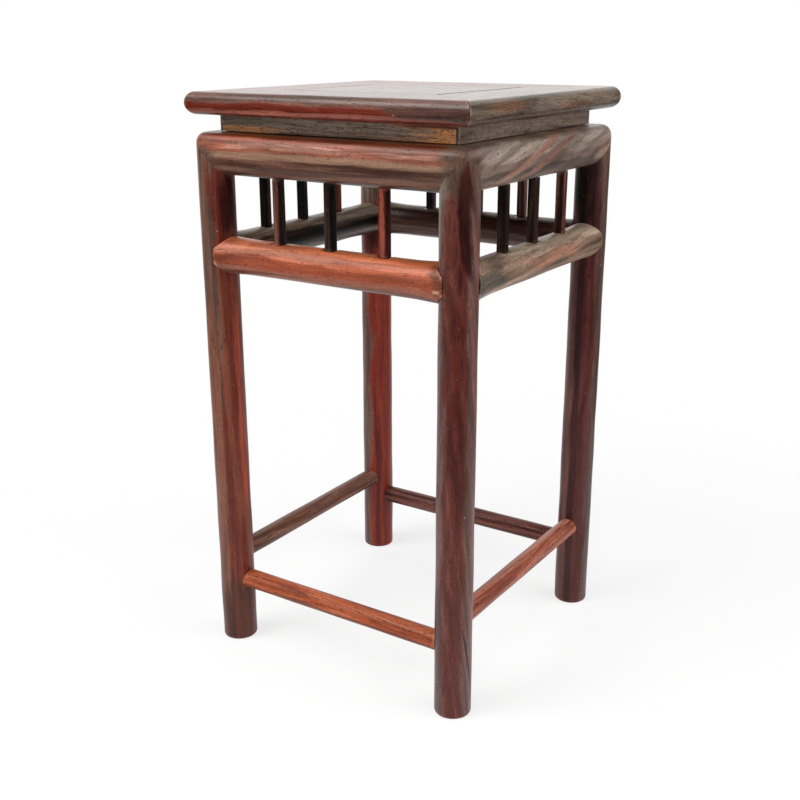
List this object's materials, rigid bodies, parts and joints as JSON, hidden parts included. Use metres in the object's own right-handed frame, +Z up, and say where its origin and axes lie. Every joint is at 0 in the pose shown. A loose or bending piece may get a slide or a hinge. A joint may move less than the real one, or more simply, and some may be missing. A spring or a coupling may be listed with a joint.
{
  "type": "miniature square wooden display stand",
  "caption": "Small tall square rosewood display stand: framed panel top on a recessed waist, round legs, strutted gallery under the top and thin stretchers near the feet.",
  "frame": {"origin": "on the ground, in the middle of the four feet", "axes": "+Z up, -Y to the front, +X to the right-hand side"},
  "size_m": [0.0914, 0.0914, 0.17],
  "materials": {
    "rosewood_plum": "waxed satin, plum brown with dark streaks",
    "rosewood_russet": "waxed satin, orange red with dark streaks and pores",
    "rosewood_umber": "waxed satin, dark brown",
    "rosewood_olive": "waxed satin, grey olive brown with pink streaks",
    "rosewood_ochre": "matt, grey brown to golden with open pores"
  },
  "bodies": {
    "root": {"leg_front_right": "rosewood_umber", "stretcher_front": "rosewood_russet", "apron_rail_front": "rosewood_russet", "strut_front_1": "rosewood_umber", "strut_front_2": "rosewood_olive", "strut_front_3": "rosewood_russet", "upper_rail_front": "rosewood_plum", "waist_front": "rosewood_ochre", "top_frame_front": "rosewood_plum", "leg_back_right": "rosewood_umber", "stretcher_right": "rosewood_russet", "apron_rail_right": "rosewood_olive", "strut_right_1": "rosewood_umber", "strut_right_2": "rosewood_olive", "strut_right_3": "rosewood_russet", "upper_rail_right": "rosewood_olive", "waist_right": "rosewood_olive", "top_frame_right": "rosewood_olive", "leg_back_left": "rosewood_plum", "stretcher_back": "rosewood_umber", "apron_rail_back": "rosewood_umber", "strut_back_1": "rosewood_umber", "strut_back_2": "rosewood_olive", "strut_back_3": "rosewood_russet", "upper_rail_back": "rosewood_umber", "waist_back": "rosewood_ochre", "top_frame_back": "rosewood_plum", "leg_front_left": "rosewood_plum", "stretcher_left": "rosewood_umber", "apron_rail_left": "rosewood_umber", "strut_left_1": "rosewood_umber", "strut_left_2": "rosewood_olive", "strut_left_3": "rosewood_russet", "upper_rail_left": "rosewood_umber", "waist_left": "rosewood_olive", "top_frame_left": "rosewood_olive", "panel_batten": "rosewood_umber", "top_panel": "rosewood_plum"}
  },
  "joints": []
}
